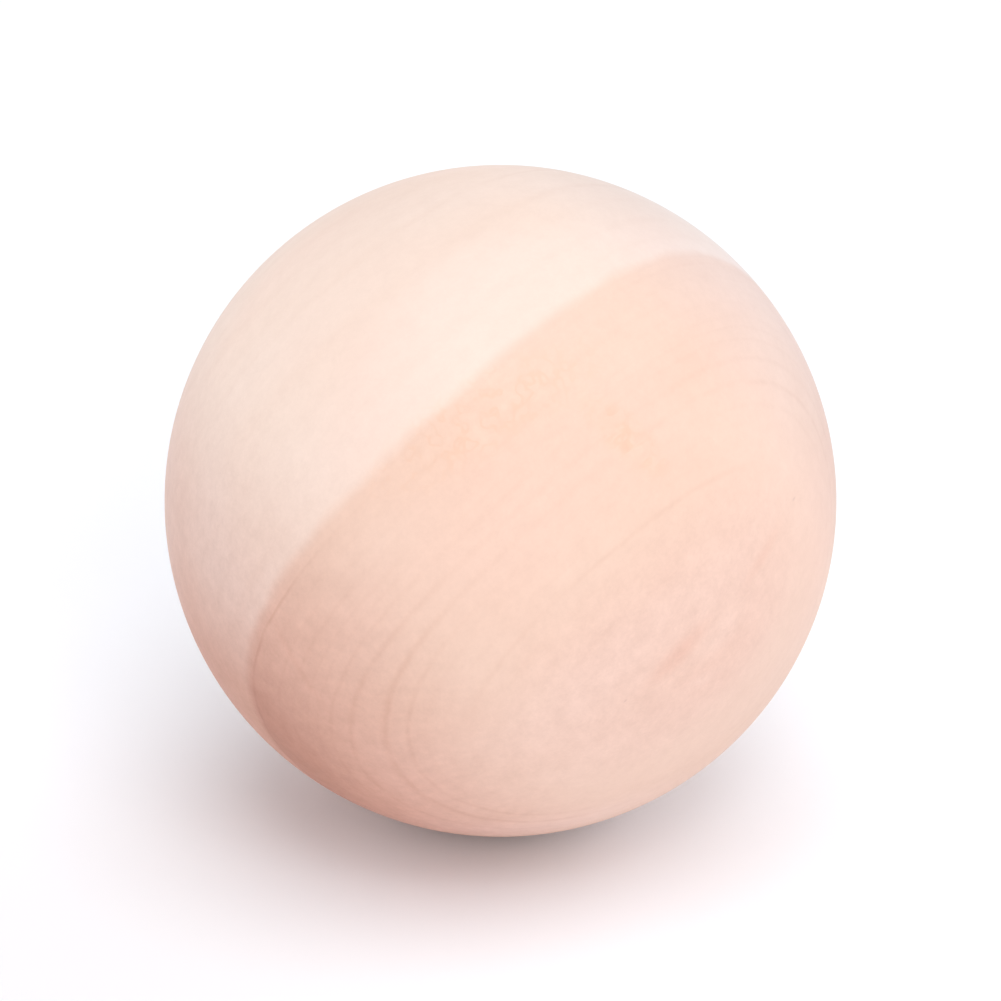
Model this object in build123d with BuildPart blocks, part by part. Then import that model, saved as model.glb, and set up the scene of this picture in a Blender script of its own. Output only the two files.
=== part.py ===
from build123d import *
import os

# Turned wooden ball: one solid sphere of pale close-grained hardwood, sanded
# smooth all over, with no bore, flat, seam or centre mark left on it.
# Millimetres, +Z up, origin at the centre of the ball.

# --- driving dimensions ---------------------------------------------------
ball_diameter = 50.0                # finished diameter, measured any way across

ball_radius = ball_diameter / 2

os.makedirs("parts", exist_ok=True)

# --- ball -----------------------------------------------------------------
# The section is a half disc in the XZ plane with its straight side on the
# Z axis, which is the lathe axis. One full turn of it gives the solid ball.
with BuildPart() as ball:
    with BuildSketch(Plane.XZ) as section:
        with BuildLine() as outline:
            bottom = (0, -ball_radius)
            rim = (ball_radius, 0)
            top = (0, ball_radius)
            ThreePointArc(bottom, rim, top)
            Line(top, bottom)
        make_face()
    revolve(axis=Axis.Z, revolution_arc=360)

ball.part.label = "ball"
export_step(ball.part, "parts/ball.step")

ideal_volume = 4 / 3 * 3.141592653589793 * ball_radius ** 3
print("ball: volume %.2f mm3 (a true ball of this size: %.2f mm3)" % (ball.part.volume, ideal_volume))
print("ball: size", ball.part.bounding_box().size)
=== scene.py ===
import math

import bpy
import bmesh
from mathutils import Matrix, Vector


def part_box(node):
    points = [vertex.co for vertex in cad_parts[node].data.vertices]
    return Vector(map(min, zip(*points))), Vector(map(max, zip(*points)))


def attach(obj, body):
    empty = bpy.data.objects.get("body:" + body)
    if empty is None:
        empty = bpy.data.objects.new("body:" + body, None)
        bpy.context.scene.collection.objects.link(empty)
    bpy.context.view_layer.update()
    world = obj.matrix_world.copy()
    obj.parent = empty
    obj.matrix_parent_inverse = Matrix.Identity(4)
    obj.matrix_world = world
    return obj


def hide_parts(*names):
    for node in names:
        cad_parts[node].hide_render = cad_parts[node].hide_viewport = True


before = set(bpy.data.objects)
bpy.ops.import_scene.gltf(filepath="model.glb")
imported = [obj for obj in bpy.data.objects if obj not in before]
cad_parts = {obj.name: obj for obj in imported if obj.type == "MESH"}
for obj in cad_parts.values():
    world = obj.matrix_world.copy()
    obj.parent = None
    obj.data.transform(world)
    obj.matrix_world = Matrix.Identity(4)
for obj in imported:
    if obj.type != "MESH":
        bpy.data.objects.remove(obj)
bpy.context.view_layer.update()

# ---------------------------------------------------------------------------
# Wooden ball: one turned and sanded ball of pale, close-grained wood. The
# whole look is solid wood: every colour, ring, streak and pore is worked out
# from the place in the blank, so it runs through the ball and meets up on
# every side. Some colours on it are painted shade and painted light, also
# fixed to places on the ball. Metres, +Z up, origin at the centre of the ball.
# ---------------------------------------------------------------------------

lo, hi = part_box("ball")
RADIUS = (hi.z - lo.z) / 2.0
CENTRE = (hi + lo) / 2.0
FLOOR_Z = lo.z
MM = 1000.0
R_MM = RADIUS * MM

# --- camera ------------------------------------------------------------------
FRAME_PX = 1001.0            # the picture is square
BALL_PX = 336.0              # radius of the ball's outline in it
DISTANCE = 0.300             # lens to the ball's centre
ELEVATION = math.radians(24.0)

right = Vector((1.0, 0.0, 0.0))
toward = Vector((0.0, -math.cos(ELEVATION), math.sin(ELEVATION)))
up = toward.cross(right)

cam_data = bpy.data.cameras.new("camera")
cam_data.sensor_fit = "HORIZONTAL"
cam_data.sensor_width = 36.0
focal_px = BALL_PX / math.tan(math.asin(RADIUS / DISTANCE))
cam_data.lens = focal_px * cam_data.sensor_width / FRAME_PX
cam_data.shift_y = 0.3 / FRAME_PX
cam_data.clip_start = 0.01
cam_data.clip_end = 20.0
camera = bpy.data.objects.new("camera", cam_data)
bpy.context.scene.collection.objects.link(camera)
camera.location = CENTRE + toward * DISTANCE
camera.rotation_euler = (-toward).to_track_quat("-Z", "Y").to_euler()
bpy.context.scene.camera = camera


def seen(x, y, z):
    """A direction given as right, up and toward the viewer, in the row frame."""
    return right * x + up * y + toward * z


# --- the blank that the ball was turned from -----------------------------------
# The grain runs up to the right across the front of the ball. The heart of the
# tree lay outside the ball, on the lower right of its front, so the growth
# rings are parts of cylinders about an axis (the pith line) beside the ball.
GRAIN = seen(0.750, 0.655, -0.096).normalized()
heart = seen(0.693, -0.630, 1.112)
heart -= GRAIN * heart.dot(GRAIN)
PITH_MM = heart.length * R_MM              # from the ball's centre to the pith line
OUTWARD = -heart.normalized()              # from the pith towards the bark
ACROSS = GRAIN.cross(OUTWARD)

# Late-wood line of each year's ring: mm from the pith line, how dark it is on the
# end-grain side of the ball, and how dark on the rest of it.
RINGS = [
    (9.60, 0.10, 0.08), (10.50, 0.10, 0.12), (11.40, 0.10, 0.12), (12.20, 0.10, 0.12),
    (13.10, 0.10, 0.45), (14.15, 0.06, 0.10), (15.10, 0.08, 0.16), (16.25, 0.10, 0.95),
    (17.40, 0.10, 0.10), (18.40, 0.10, 0.12), (19.40, 0.44, 0.26), (20.75, 0.68, 0.56),
    (22.25, 0.48, 0.40), (23.55, 0.32, 0.34), (24.45, 0.16, 0.26), (25.20, 0.20, 0.14),
    (26.35, 0.20, 0.14), (27.50, 0.24, 0.20), (28.60, 0.14, 0.14), (29.95, 0.85, 0.22),
    (30.55, 0.16, 0.30), (32.80, 0.10, 0.18), (34.90, 0.12, 0.22), (37.80, 0.12, 0.18),
    (40.50, 0.14, 0.46), (43.00, 0.14, 0.12), (44.50, 0.16, 0.52), (46.10, 0.14, 0.22),
    (48.00, 0.16, 0.26), (49.90, 0.16, 0.28), (51.70, 0.18, 0.34), (53.20, 0.16, 0.28),
    (55.30, 0.18, 0.36), (57.00, 0.16, 0.30), (58.60, 0.18, 0.34), (60.40, 0.20, 0.38),
    (62.40, 0.18, 0.30), (64.00, 0.18, 0.30),
]
HEARTWOOD_EDGE = 31.10
EDGE_SOFT = 0.70                           # half width of its soft edge

# Small marks in the wood, and one patch of painted fill light: the two ends of
# each in ball radii (right, up, toward the viewer), and its half width in mm.
STREAK = ((0.435, -0.494, 0.753), (0.562, -0.360, 0.745), 0.95)
SIDE_MARK = ((0.697, -0.224, 0.681), (0.783, -0.081, 0.616), 0.60)
PALE_PATCH = ((0.566, -0.426, 0.706), (0.652, -0.342, 0.676), 1.30)
PALE_BAND = ((0.523, -0.532, 0.666), (0.627, -0.472, 0.620), 0.60)
FIGURE_LONG = ((-0.276, 0.084, 0.957), (0.192, 0.374, 0.907), 3.00)
FIGURE_SHORT = ((0.269, 0.244, 0.932), (0.413, 0.112, 0.904), 1.60)
PALE_END = ((-0.714, -0.420, 0.560), (-0.620, -0.150, 0.770), 1.00)
END_RAY = ((-0.654, -0.297, 0.696), (-0.488, -0.595, 0.639), 0.40)
# the next entry is painted fill light low on the front of the ball, not a mark in the wood
PAINTED_LOW_FILL_LIGHT = ((-0.140, -0.960, 0.243), (0.390, -0.886, 0.250), 4.00)
SPECKS = [
    ((0.346, -0.564, 0.750), (0.354, -0.556, 0.752), 0.09),
    ((0.833, 0.001, 0.553), (0.840, 0.010, 0.543), 0.12),
]


# --- node helpers ---------------------------------------------------------------
class Tree:
    """Short ways to write a node tree."""

    def __init__(self, tree):
        self.tree = tree
        tree.nodes.clear()

    def new(self, kind, **props):
        node = self.tree.nodes.new(kind)
        for key, value in props.items():
            setattr(node, key, value)
        return node

    def link(self, value, socket):
        if isinstance(value, bpy.types.NodeSocket):
            self.tree.links.new(value, socket)
        elif isinstance(value, (tuple, list, Vector)):
            value = tuple(value)
            n = len(socket.default_value)
            socket.default_value = (value + (1.0,))[:n] if len(value) < n else value[:n]
        else:
            socket.default_value = value

    def math(self, op, a, b=0.0, c=None, clamp=False):
        node = self.new("ShaderNodeMath", operation=op, use_clamp=clamp)
        self.link(a, node.inputs[0])
        if op not in ("FRACT", "FLOOR", "SQRT", "ABSOLUTE", "SINE", "COSINE", "EXPONENT", "ROUND"):
            self.link(b, node.inputs[1])
        if c is not None:
            self.link(c, node.inputs[2])
        return node.outputs[0]

    def add(self, a, b):
        return self.math("ADD", a, b)

    def sub(self, a, b):
        return self.math("SUBTRACT", a, b)

    def mul(self, a, b):
        return self.math("MULTIPLY", a, b)

    def madd(self, a, b, c):
        return self.math("MULTIPLY_ADD", a, b, c)

    def dot(self, a, b):
        node = self.new("ShaderNodeVectorMath", operation="DOT_PRODUCT")
        self.link(a, node.inputs[0])
        self.link(b, node.inputs[1])
        return node.outputs["Value"]

    def vec(self, x, y, z):
        node = self.new("ShaderNodeCombineXYZ")
        for value, socket in zip((x, y, z), node.inputs):
            self.link(value, socket)
        return node.outputs[0]

    def ramp(self, value, a, b, c=0.0, d=1.0, smooth=True):
        """value from a to b becomes c to d, and stays there outside."""
        node = self.new("ShaderNodeMapRange", clamp=True)
        node.interpolation_type = "SMOOTHSTEP" if smooth else "LINEAR"
        self.link(value, node.inputs["Value"])
        for name, v in (("From Min", a), ("From Max", b), ("To Min", c), ("To Max", d)):
            self.link(v, node.inputs[name])
        return node.outputs["Result"]

    def curve(self, value, points, low, high):
        """value, which lies between low and high, through straight lines between points."""
        node = self.new("ShaderNodeFloatCurve")
        line = node.mapping.curves[0]
        top = max(y for x, y in points)
        shown = [((x - low) / (high - low), y / top) for x, y in points]
        for x, y in shown[1:-1]:
            line.points.new(x, y)
        for point, (x, y) in zip(line.points, shown):
            point.location = (x, y)
            point.handle_type = "VECTOR"
        node.mapping.use_clip = False
        node.mapping.update()
        self.link(self.ramp(value, low, high, smooth=False), node.inputs["Value"])
        return self.mul(node.outputs[0], top)

    def mark(self, place, first, second, wide, deep=6.0, edge=1.0):
        """1 inside a long rounded mark between two places on the ball, fading to 0 around
        it. wide and deep are half widths in mm; edge is how gently it fades."""
        a, b = seen(*first) * RADIUS, seen(*second) * RADIUS
        middle = (a + b) / 2.0
        out = middle.normalized()
        lay = (b - a).normalized()
        over = out.cross(lay).normalized()
        out = lay.cross(over)
        turn = Matrix((lay, over, out)).transposed().to_euler()
        node = self.new("ShaderNodeMapping", vector_type="TEXTURE")
        self.link(place, node.inputs["Vector"])
        node.inputs["Location"].default_value = middle
        node.inputs["Rotation"].default_value = turn
        node.inputs["Scale"].default_value = ((b - a).length / 2.0 + wide / MM, wide / MM, deep / MM)
        size = self.new("ShaderNodeVectorMath", operation="LENGTH")
        self.link(node.outputs[0], size.inputs[0])
        return self.ramp(size.outputs["Value"], max(0.0, 1.0 - edge), 1.0 + 0.35 * edge, 1.0, 0.0)

    def noise(self, vector, detail=3.0, rough=0.5, scale=1.0, offset=(0.0, 0.0, 0.0)):
        """Noise of the vector, from 0 to 1, about 0.5. offset picks another patch of it."""
        if any(offset):
            node = self.new("ShaderNodeVectorMath", operation="ADD")
            self.link(vector, node.inputs[0])
            self.link(offset, node.inputs[1])
            vector = node.outputs[0]
        node = self.new("ShaderNodeTexNoise", noise_dimensions="3D")
        self.link(vector, node.inputs["Vector"])
        node.inputs["Scale"].default_value = scale
        node.inputs["Detail"].default_value = detail
        node.inputs["Roughness"].default_value = rough
        return node.outputs[0]

    def mix(self, fac, a, b, blend="MIX"):
        node = self.new("ShaderNodeMix", data_type="RGBA", blend_type=blend)
        node.clamp_factor = True
        self.link(fac, node.inputs["Factor"])
        self.link(a, node.inputs[6])
        self.link(b, node.inputs[7])
        return node.outputs[2]

    def tint(self, colour, amount, light, dark):
        """colour times a tint: light where amount is 0, dark where it is 1."""
        return self.mix(1.0, colour, self.mix(amount, light, dark), "MULTIPLY")


# --- solid wood -----------------------------------------------------------------
def wood_material():
    mat = bpy.data.materials.new("turned_wood")
    mat.use_nodes = True
    t = Tree(mat.node_tree)
    out = t.new("ShaderNodeOutputMaterial")
    shader = t.new("ShaderNodeBsdfPrincipled")
    t.link(shader.outputs[0], out.inputs["Surface"])

    # place in the blank, in mm: along the grain, out from the pith, across it
    place = t.new("ShaderNodeTexCoord").outputs["Object"]
    along = t.dot(place, GRAIN * MM)
    outward = t.add(t.dot(place, OUTWARD * MM), PITH_MM)
    across = t.dot(place, ACROSS * MM)
    grain = t.vec(along, outward, across)
    radius = t.math("SQRT", t.add(t.mul(outward, outward), t.mul(across, across)))

    side = t.mul(along, 1.0 / R_MM)          # -1 and 1 on the two end-grain caps, 0 on side grain
    end = t.math("ABSOLUTE", side)

    # the rings wander a little, and flare towards the two end-grain caps
    slow = t.noise(t.vec(t.mul(along, 0.030), t.mul(outward, 0.060), t.mul(across, 0.060)), 1.0, 0.4)
    fine = t.noise(t.vec(t.mul(along, 0.16), t.mul(outward, 0.50), t.mul(across, 0.50)), 1.0, 0.5, offset=(7.3, 2.1, 5.5))
    end2 = t.mul(end, end)
    end4 = t.mul(end2, end2)
    wander = t.madd(t.sub(slow, 0.5), 0.50, t.mul(t.sub(fine, 0.5), 0.30))
    flare = t.mul(end4, t.ramp(side, -0.2, 0.2, t.ramp(radius, 20.2, 22.4, 0.6, -1.5), -1.2))
    ring_r = t.add(t.add(radius, flare), wander)

    # which ring, and how dark its late wood is
    first, last = RINGS[0][0], RINGS[-1][0]
    count = t.curve(ring_r, [(ring[0], i) for i, ring in enumerate(RINGS)], first, last)
    by_end = t.curve(ring_r, [(ring[0], ring[1]) for ring in RINGS], first, last)
    by_side = t.curve(ring_r, [(ring[0], ring[2]) for ring in RINGS], first, last)
    off = t.math("ABSOLUTE", t.sub(t.math("FRACT", t.add(count, 0.5)), 0.5))
    thin = t.ramp(radius, 16.5, 33.0, 0.23, 0.40, smooth=False)
    late = t.ramp(off, 0.0, t.ramp(end, 0.32, 0.68, thin, 0.23), 1.0, 0.0)
    crisp = t.ramp(side, -0.68, -0.28, 1.0, 0.0)
    # the innermost ovals show on one flank only, and the outermost only at the end
    flank = t.math("MAXIMUM", t.ramp(across, 2.5, 6.5, 0.15, 1.0), t.ramp(radius, 17.5, 19.5))
    faint = t.mul(flank, t.ramp(side, 0.45, 0.80, 0.32, 0.62))
    rim = t.math("MAXIMUM", t.ramp(side, -0.50, -0.80, 0.30, 1.0), t.ramp(radius, 27.0, 29.0, 1.0, 0.0))
    strength = t.add(t.mul(by_end, t.mul(rim, crisp)), t.mul(by_side, t.mul(faint, t.sub(1.0, crisp))))
    broken = t.ramp(fine, 0.30, 0.62, 0.40, 1.12)
    line = t.mul(late, t.mul(strength, broken))

    # heartwood and sapwood: a soft edge that wavers, and a slow change beyond it
    edge_flare = t.mul(end4, t.ramp(side, -0.2, 0.2, -0.6, -0.8))
    edge_r = t.add(t.add(radius, edge_flare), t.madd(t.sub(fine, 0.5), 0.50, wander))
    sap = t.madd(t.ramp(edge_r, HEARTWOOD_EDGE - EDGE_SOFT, HEARTWOOD_EDGE + EDGE_SOFT), 0.86,
                 t.ramp(edge_r, 31.0, 38.0, 0.0, 0.14))

    # speckle of the fine pores, slow drift of tone
    speck = t.noise(t.vec(t.mul(along, 0.82), outward, across), 4.0, 0.92, scale=0.62)
    drift = t.noise(t.vec(t.mul(along, 0.035), t.mul(outward, 0.10), t.mul(across, 0.10)), 1.0, 0.5, offset=(11.0, 4.0, 8.0))
    blush = t.noise(t.vec(t.mul(along, 0.05), t.mul(outward, 0.085), t.mul(across, 0.085)), 1.0, 0.5, offset=(21.0, 14.0, 3.0))

    # rays, which run out from the pith and show as short dashes on the darker end grain
    around = t.mul(t.math("ARCTAN2", across, outward), 25.0)
    rays = t.noise(t.vec(t.mul(along, 1.0), t.mul(radius, 0.40), t.mul(around, 1.35)), 0.0)

    # small marks
    beside = t.mark(place, *FIGURE_SHORT, edge=0.8)
    warm = t.math("MAXIMUM", t.mark(place, *FIGURE_LONG, edge=0.7), beside)
    dashes = t.noise(t.vec(t.mul(along, 0.62), t.mul(outward, 1.50), t.mul(across, 1.50)), 0.0, offset=(3.0, 8.0, 2.0))
    blotch = t.noise(grain, 1.0, 0.70, scale=0.78, offset=(5.0, 17.0, 9.0))
    curl = t.mul(warm, t.ramp(blotch, 0.42, 0.32))
    figure = t.mul(t.ramp(t.math("ABSOLUTE", t.sub(blotch, 0.57)), 0.01, 0.085, 1.0, 0.0), t.ramp(speck, 0.42, 0.60, 1.0, 0.25))
    figure = t.math("MAXIMUM", t.mul(warm, figure), t.mul(beside, t.ramp(dashes, 0.46, 0.56)))
    near_pith = t.ramp(radius, 12.0, 17.0, 1.0, 0.0)

    heart_colour = (0.816, 0.586, 0.479)
    sap_colour = (0.865, 0.697, 0.611)
    colour = t.mix(sap, heart_colour, sap_colour)
    colour = t.tint(colour, t.ramp(drift, 0.30, 0.70), (1.0, 1.0, 1.0), (0.985, 0.965, 0.945))
    colour = t.tint(colour, t.ramp(blush, 0.40, 0.75), (1.0, 1.0, 1.0), (1.000, 0.970, 0.965))
    colour = t.tint(colour, near_pith, (1.0, 1.0, 1.0), (0.992, 0.968, 0.990))

    # the speckle is faint in the sapwood, and stronger on end grain and near the pith
    grit = t.ramp(sap, 0.0, 1.0, t.ramp(side, 0.0, 0.5, 1.12, 0.92), t.ramp(side, -0.5, 0.0, 1.15, 0.82))
    grit = t.add(grit, t.madd(near_pith, 1.10, t.ramp(side, -0.35, -0.85, 0.0, 1.20)))
    grit = t.madd(t.sub(speck, 0.5), grit, 0.5)
    colour = t.tint(colour, grit, (1.064, 1.078, 1.084), (0.936, 0.922, 0.916))
    rays = t.madd(t.sub(rays, 0.5), t.mul(t.ramp(side, -0.30, -0.75), t.ramp(sap, 0.0, 1.0, 1.0, 0.3)), 0.5)
    colour = t.tint(colour, rays, (1.040, 1.042, 1.045), (0.960, 0.950, 0.945))

    # late wood
    colour = t.tint(colour, line, (1.0, 1.0, 1.0), (0.905, 0.845, 0.815))

    # marks
    colour = t.tint(colour, warm, (1.0, 1.0, 1.0), (1.0, 0.992, 0.970))
    colour = t.tint(colour, figure, (1.0, 1.0, 1.0), (0.978, 0.932, 0.888))
    colour = t.tint(colour, t.mul(t.mark(place, *STREAK), t.ramp(blotch, 0.30, 0.50, 0.65, 1.0)), (1.0, 1.0, 1.0), (0.965, 0.895, 0.872))
    dim = t.math("MAXIMUM", t.mark(place, *SIDE_MARK), t.mul(t.mark(place, *END_RAY), 0.7))
    colour = t.tint(colour, dim, (1.0, 1.0, 1.0), (0.975, 0.935, 0.920))
    pale = t.math("MAXIMUM", t.mark(place, *PALE_PATCH), t.mark(place, *PALE_BAND))
    pale = t.math("MAXIMUM", pale, t.mul(t.mark(place, *PALE_END, deep=3.0), sap))
    pale = t.math("MAXIMUM", pale, curl)
    colour = t.tint(colour, t.mul(pale, t.ramp(blotch, 0.35, 0.55, 0.5, 1.0)), (1.0, 1.0, 1.0), (1.030, 1.055, 1.070))
    dots = t.math("MAXIMUM", t.mark(place, *SPECKS[0], deep=0.6), t.mark(place, *SPECKS[1], deep=0.6))
    colour = t.tint(colour, dots, (1.0, 1.0, 1.0), (0.87, 0.84, 0.85))

    # end grain shows darker than side grain; this darkening is partly that and partly
    # painted shade, strongest at the lower-left end of the ball, away from the key light
    endgrain_and_painted_shade = t.mul(t.ramp(side, -1.0, -0.35, 1.0, 0.0), t.ramp(sap, 0.0, 1.0, 1.0, 0.74))
    colour = t.tint(colour, endgrain_and_painted_shade, (1.0, 1.0, 1.0), (0.817, 0.638, 0.611))
    # painted shade deepest at the lower-left limb, on top of the end grain's own browner tone
    limb_endgrain_and_painted_shade = t.ramp(side, -1.0, -0.78, 1.0, 0.0)
    colour = t.tint(colour, limb_endgrain_and_painted_shade, (1.0, 1.0, 1.0), t.mix(sap, (0.800, 0.710, 0.665), (0.895, 0.755, 0.690)))
    colour = t.tint(colour, t.ramp(side, -0.97, -0.89, 1.0, 0.0), (1.0, 1.0, 1.0), (0.935, 0.880, 0.850))
    # the upper-right end: partly the end grain's own tone, partly a painted cool, dim cast standing in for the grazing
    # reflection of the rim light
    colour = t.tint(colour, t.ramp(side, 0.50, 1.0), (1.0, 1.0, 1.0), t.mix(sap, (0.810, 0.860, 0.920), (0.820, 0.880, 0.935)))
    # painted fill light: a paler, cooler patch low on the front, where light bounced from below falls
    colour = t.tint(colour, t.mark(place, *PAINTED_LOW_FILL_LIGHT), (1.0, 1.0, 1.0), (1.075, 1.110, 1.180))

    t.link(colour, shader.inputs["Base Color"])
    rough = t.madd(t.sub(speck, 0.5), 0.12, t.madd(line, -0.05, 0.56))
    t.link(rough, shader.inputs["Roughness"])
    shader.inputs["Specular IOR Level"].default_value = 0.42
    shader.inputs["IOR"].default_value = 1.48

    bump = t.new("ShaderNodeBump")
    bump.inputs["Strength"].default_value = 0.35
    bump.inputs["Distance"].default_value = 0.00004
    t.link(t.noise(grain, 0.0, scale=2.6), bump.inputs["Height"])
    t.link(bump.outputs[0], shader.inputs["Normal"])
    return mat


# --- the ball ---------------------------------------------------------------------
def make_ball(cells=96):
    """The ball as six square patches of near-even cells, with no poles, and a
    chart for each patch in the UV map."""
    bm = bmesh.new()
    uv = bm.loops.layers.uv.new("OFBake")
    faces = [  # direction of the patch, and of its two sides
        ((1, 0, 0), (0, 1, 0), (0, 0, 1)),
        ((-1, 0, 0), (0, -1, 0), (0, 0, 1)),
        ((0, 1, 0), (-1, 0, 0), (0, 0, 1)),
        ((0, -1, 0), (1, 0, 0), (0, 0, 1)),
        ((0, 0, 1), (1, 0, 0), (0, 1, 0)),
        ((0, 0, -1), (1, 0, 0), (0, -1, 0)),
    ]
    gap = 0.006
    for i, (n, a, b) in enumerate(faces):
        n, a, b = Vector(n), Vector(a), Vector(b)
        u0, v0 = (i % 3) / 3.0, (i // 3) / 2.0
        grid = []
        for row in range(cells + 1):
            line = []
            for col in range(cells + 1):
                s = math.tan(math.pi / 4 * (2 * col / cells - 1))
                q = math.tan(math.pi / 4 * (2 * row / cells - 1))
                p = (n + a * s + b * q).normalized()
                line.append(bm.verts.new(CENTRE + p * RADIUS))
            grid.append(line)
        for row in range(cells):
            for col in range(cells):
                corners = [(row, col), (row, col + 1), (row + 1, col + 1), (row + 1, col)]
                face = bm.faces.new([grid[r][c] for r, c in corners])
                face.smooth = True
                for loop, (r, c) in zip(face.loops, corners):
                    loop[uv].uv = (u0 + gap + (1 / 3.0 - 2 * gap) * c / cells,
                                   v0 + gap + (1 / 2.0 - 2 * gap) * r / cells)
    bmesh.ops.remove_doubles(bm, verts=bm.verts, dist=1e-7)
    mesh = bpy.data.meshes.new("turned_ball")
    bm.to_mesh(mesh)
    bm.free()
    obj = bpy.data.objects.new("turned_ball", mesh)
    bpy.context.scene.collection.objects.link(obj)
    return obj


ball = make_ball()
ball.data.materials.append(wood_material())
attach(ball, "root")
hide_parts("ball")


# --- floor, world and lights ---------------------------------------------------------
def make_floor():
    bm = bmesh.new()
    bmesh.ops.create_circle(bm, cap_ends=True, segments=128, radius=4.0)
    mesh = bpy.data.meshes.new("floor")
    bm.to_mesh(mesh)
    bm.free()
    obj = bpy.data.objects.new("floor", mesh)
    obj.location = (CENTRE.x, CENTRE.y, FLOOR_Z)
    bpy.context.scene.collection.objects.link(obj)
    mat = bpy.data.materials.new("pale_floor")
    mat.use_nodes = True
    t = Tree(mat.node_tree)
    out = t.new("ShaderNodeOutputMaterial")
    shader = t.new("ShaderNodeBsdfPrincipled")
    t.link(shader.outputs[0], out.inputs["Surface"])
    shader.inputs["Base Color"].default_value = (0.908, 0.910, 0.942, 1.0)
    shader.inputs["Roughness"].default_value = 0.7
    shader.inputs["Specular IOR Level"].default_value = 0.2
    obj.data.materials.append(mat)
    return obj


floor = make_floor()

world = bpy.data.worlds.new("studio")
world.use_nodes = True
bpy.context.scene.world = world
w = Tree(world.node_tree)
w_out = w.new("ShaderNodeOutputWorld")
w_bg = w.new("ShaderNodeBackground")
w.link(w_bg.outputs[0], w_out.inputs["Surface"])
w_dir = w.new("ShaderNodeTexCoord").outputs["Generated"]
w_sep = w.new("ShaderNodeSeparateXYZ")
w.link(w_dir, w_sep.inputs[0])
height = w_sep.outputs["Z"]
w.link(w.mix(w.ramp(height, 0.02, 0.35), (1.02, 1.02, 1.02), (0.38, 0.385, 0.39)), w_bg.inputs["Color"])
w_bg.inputs["Strength"].default_value = 1.0


def sun(name, direction, strength, angle, colour=(1.0, 1.0, 1.0)):
    data = bpy.data.lights.new(name, "SUN")
    data.energy = strength
    data.angle = math.radians(angle)
    data.color = colour
    obj = bpy.data.objects.new(name, data)
    bpy.context.scene.collection.objects.link(obj)
    obj.location = CENTRE + direction.normalized() * 1.0
    obj.rotation_euler = direction.normalized().to_track_quat("Z", "Y").to_euler()
    return obj


sun("key", seen(0.242, 0.242, 0.940), 1.12, 45.0)
sun("top", seen(0.060, 0.800, 0.590), 1.35, 50.0)
sun("rim_right", seen(0.750, 0.433, -0.500), 1.20, 50.0, (0.92, 0.97, 1.08))
sun("rim_left", seen(-0.750, 0.433, -0.500), 0.62, 50.0)

bpy.context.scene.view_settings.view_transform = "Standard"
